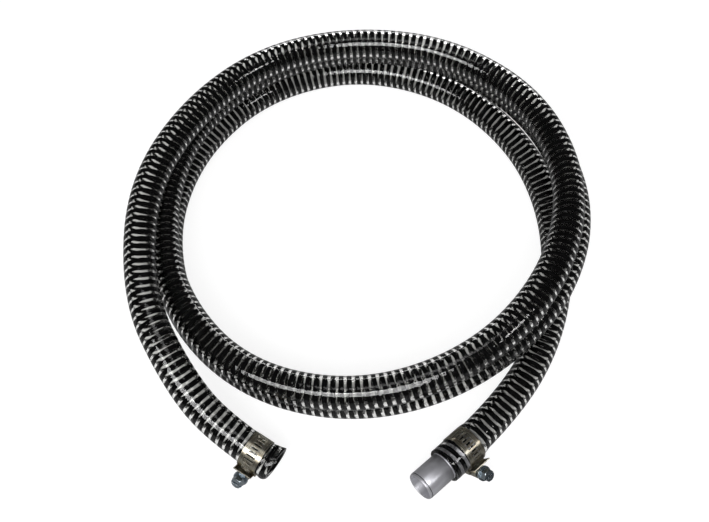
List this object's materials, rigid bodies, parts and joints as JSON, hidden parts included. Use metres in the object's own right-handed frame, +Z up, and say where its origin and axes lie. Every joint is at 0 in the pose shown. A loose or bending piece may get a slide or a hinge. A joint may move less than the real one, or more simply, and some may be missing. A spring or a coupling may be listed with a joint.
{
  "type": "pool cleaner suction hose",
  "caption": "Coiled flexible suction hose with black spiral ribs, an open mouth, a push-in connector tube and a worm-drive clamp on each end.",
  "frame": {"origin": "middle of the footprint on the plane that the hose lies on", "axes": "+Z up; looking along +Y both hose ends face the viewer, the open mouth at -X and the connector tube at +X"},
  "size_m": [0.3667, 0.4145, 0.0753],
  "materials": {
    "hose": "flexible clear PVC with a black rigid helix, glossy",
    "connector_tube": "satin drawn tube",
    "clamp_steel": "bright rolled stainless strip",
    "screw_steel": "bright zinc plate"
  },
  "bodies": {
    "hose_assembly": {"hose_mouth_end": "hose", "hose_coil": "hose", "hose_tube_end": "hose", "connector_tube": "connector_tube", "mouth_clamp_band": "clamp_steel", "mouth_clamp_saddle": "clamp_steel", "mouth_clamp_housing": "clamp_steel", "tube_clamp_band": "clamp_steel", "tube_clamp_saddle": "clamp_steel", "tube_clamp_housing": "clamp_steel"},
    "mouth_screw": {"mouth_clamp_screw": "screw_steel"},
    "tube_screw": {"tube_clamp_screw": "screw_steel"}
  },
  "joints": [
    {"name": "mouth_screw_turn", "type": "hinge", "parent": "hose_assembly", "child": "mouth_screw", "pos_m": [-0.08326, -0.1813, 0.00855], "axis": [-0.3979, -0.7717, 0.4961], "range_deg": [0, 1800]},
    {"name": "tube_screw_turn", "type": "hinge", "parent": "hose_assembly", "child": "tube_screw", "pos_m": [0.07817, -0.18181, 0.00917], "axis": [0.5175, -0.4864, 0.704], "range_deg": [0, 1800]}
  ]
}
